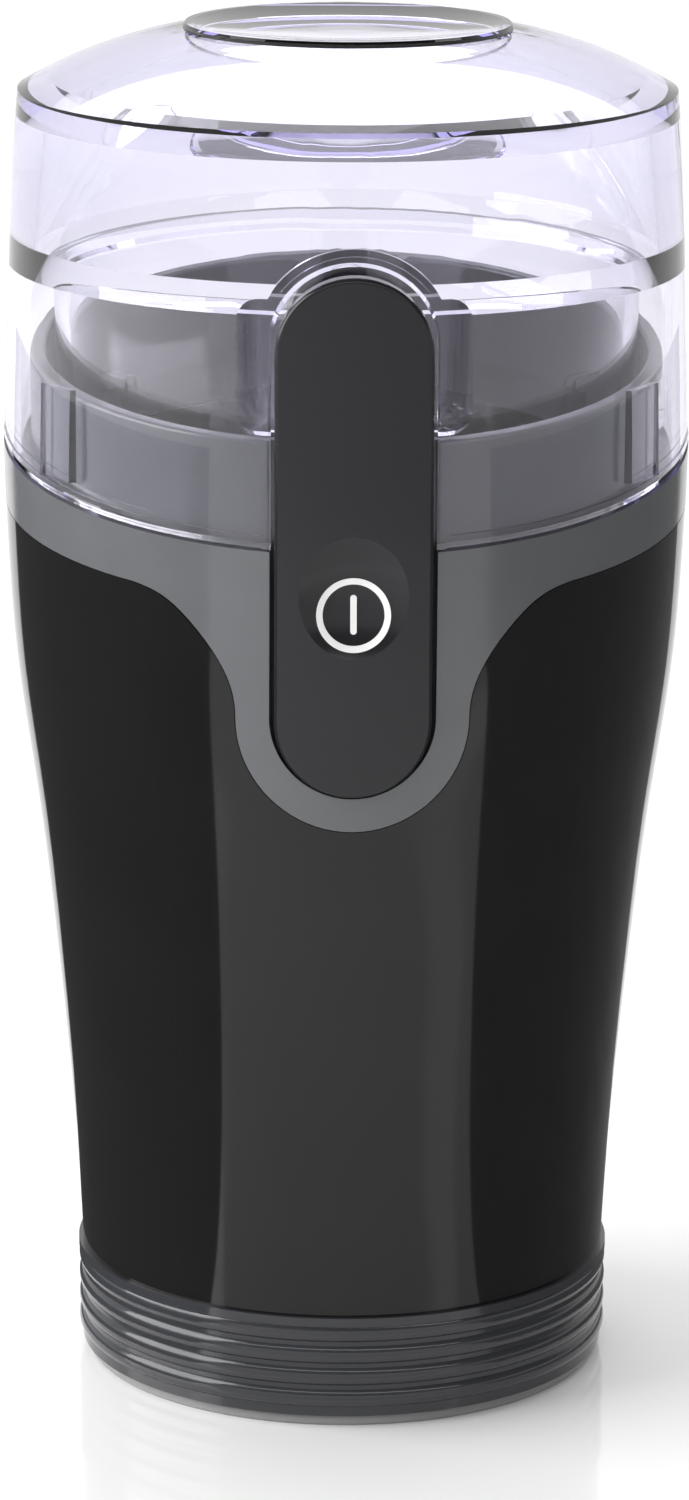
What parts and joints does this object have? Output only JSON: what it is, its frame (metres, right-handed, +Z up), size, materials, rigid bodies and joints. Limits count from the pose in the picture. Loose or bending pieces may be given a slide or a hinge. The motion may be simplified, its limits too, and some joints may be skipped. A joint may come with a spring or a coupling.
{
  "type": "blade coffee grinder",
  "caption": "Upright electric blade coffee grinder with a clear domed lid, a removable grinding chamber and a tall front push button.",
  "frame": {"origin": "centre of the foot ring, on the surface the grinder stands on", "axes": "+Z up along the motor axis, -Y to the front with the button, +X to the right seen from the front"},
  "size_m": [0.0904, 0.0913, 0.1805],
  "materials": {
    "clear_plastic": "gloss",
    "grey_satin": "satin",
    "black_gloss": "gloss",
    "black_satin": "satin",
    "white_print": "matte",
    "dark_grey": "satin",
    "pale_rubber": "matte",
    "black_plastic": "matte",
    "black_rubber": "matte",
    "stainless": "brushed",
    "zinc_steel": "satin",
    "lamination": "satin",
    "copper": "enamelled",
    "bronze": "sintered",
    "brass": "bright",
    "carbon": "matte",
    "nylon_white": "satin",
    "fibre": "matte",
    "blue_film": "gloss"
  },
  "bodies": {
    "housing": {"collar": "grey_satin", "body_shell": "black_gloss", "base_ring": "dark_grey", "foot_ring": "pale_rubber", "base_plate": "black_plastic", "base_screws": "zinc_steel", "collar_screws": "zinc_steel", "chamber_well": "black_plastic", "drive_seal": "black_rubber", "cord_grommet": "black_rubber", "button_springs": "zinc_steel", "microswitch": "black_plastic", "switch_bracket": "nylon_white", "switch_screws": "zinc_steel", "stator_core": "lamination", "field_coils": "copper", "upper_bearing": "bronze", "lower_bearing": "bronze", "upper_bracket": "black_plastic", "lower_bracket": "black_plastic", "carbon_brushes": "carbon", "brush_holders": "brass", "brush_springs": "zinc_steel", "motor_screws": "zinc_steel", "motor_mounts": "black_rubber", "mount_screws": "zinc_steel", "suppressor_capacitor": "blue_film"},
    "rotor": {"motor_shaft": "zinc_steel", "armature_core": "lamination", "armature_windings": "copper", "commutator": "copper", "cooling_fan": "black_plastic", "drive_coupling": "nylon_white", "thrust_washers": "fibre"},
    "button": {"power_button": "black_satin", "power_symbol": "white_print", "button_actuator": "nylon_white", "button_screws": "zinc_steel"},
    "plunger": {"switch_plunger": "nylon_white"},
    "chamber": {"chamber_cup": "clear_plastic", "chamber_floor": "stainless", "chamber_base": "black_plastic", "shaft_bushing": "bronze", "shaft_seal": "black_rubber"},
    "cutter": {"blade": "stainless", "blade_shaft": "stainless", "blade_nut": "stainless", "driven_coupling": "nylon_white", "retaining_ring": "zinc_steel"},
    "lid": {"lid": "clear_plastic"}
  },
  "joints": [
    {"name": "button_press", "type": "slide", "parent": "housing", "child": "button", "axis": [0, 1, 0], "range_m": [0, 0.0016], "stiffness_N_per_m": 900, "springref_m": -0.001, "deforming": ["button_springs"]},
    {"name": "plunger_press", "type": "slide", "parent": "housing", "child": "plunger", "axis": [0, 1, 0], "range_m": [0, 0.0016]},
    {"name": "motor_spin", "type": "hinge", "parent": "housing", "child": "rotor", "pos_m": [0, 0, 0.046], "axis": [0, 0, 1], "continuous": true},
    {"name": "chamber_lift", "type": "slide", "parent": "housing", "child": "chamber", "axis": [0, 0, 1], "range_m": [0, 0.095]},
    {"name": "blade_spin", "type": "hinge", "parent": "chamber", "child": "cutter", "pos_m": [0, 0, 0.106], "axis": [0, 0, 1], "continuous": true},
    {"name": "lid_lift", "type": "slide", "parent": "chamber", "child": "lid", "axis": [0, 0, 1], "range_m": [0, 0.075]}
  ],
  "couplings": [
    {"joint": "plunger_press", "follows": "button_press", "ratio": 1},
    {"joint": "blade_spin", "follows": "motor_spin", "ratio": 1}
  ]
}
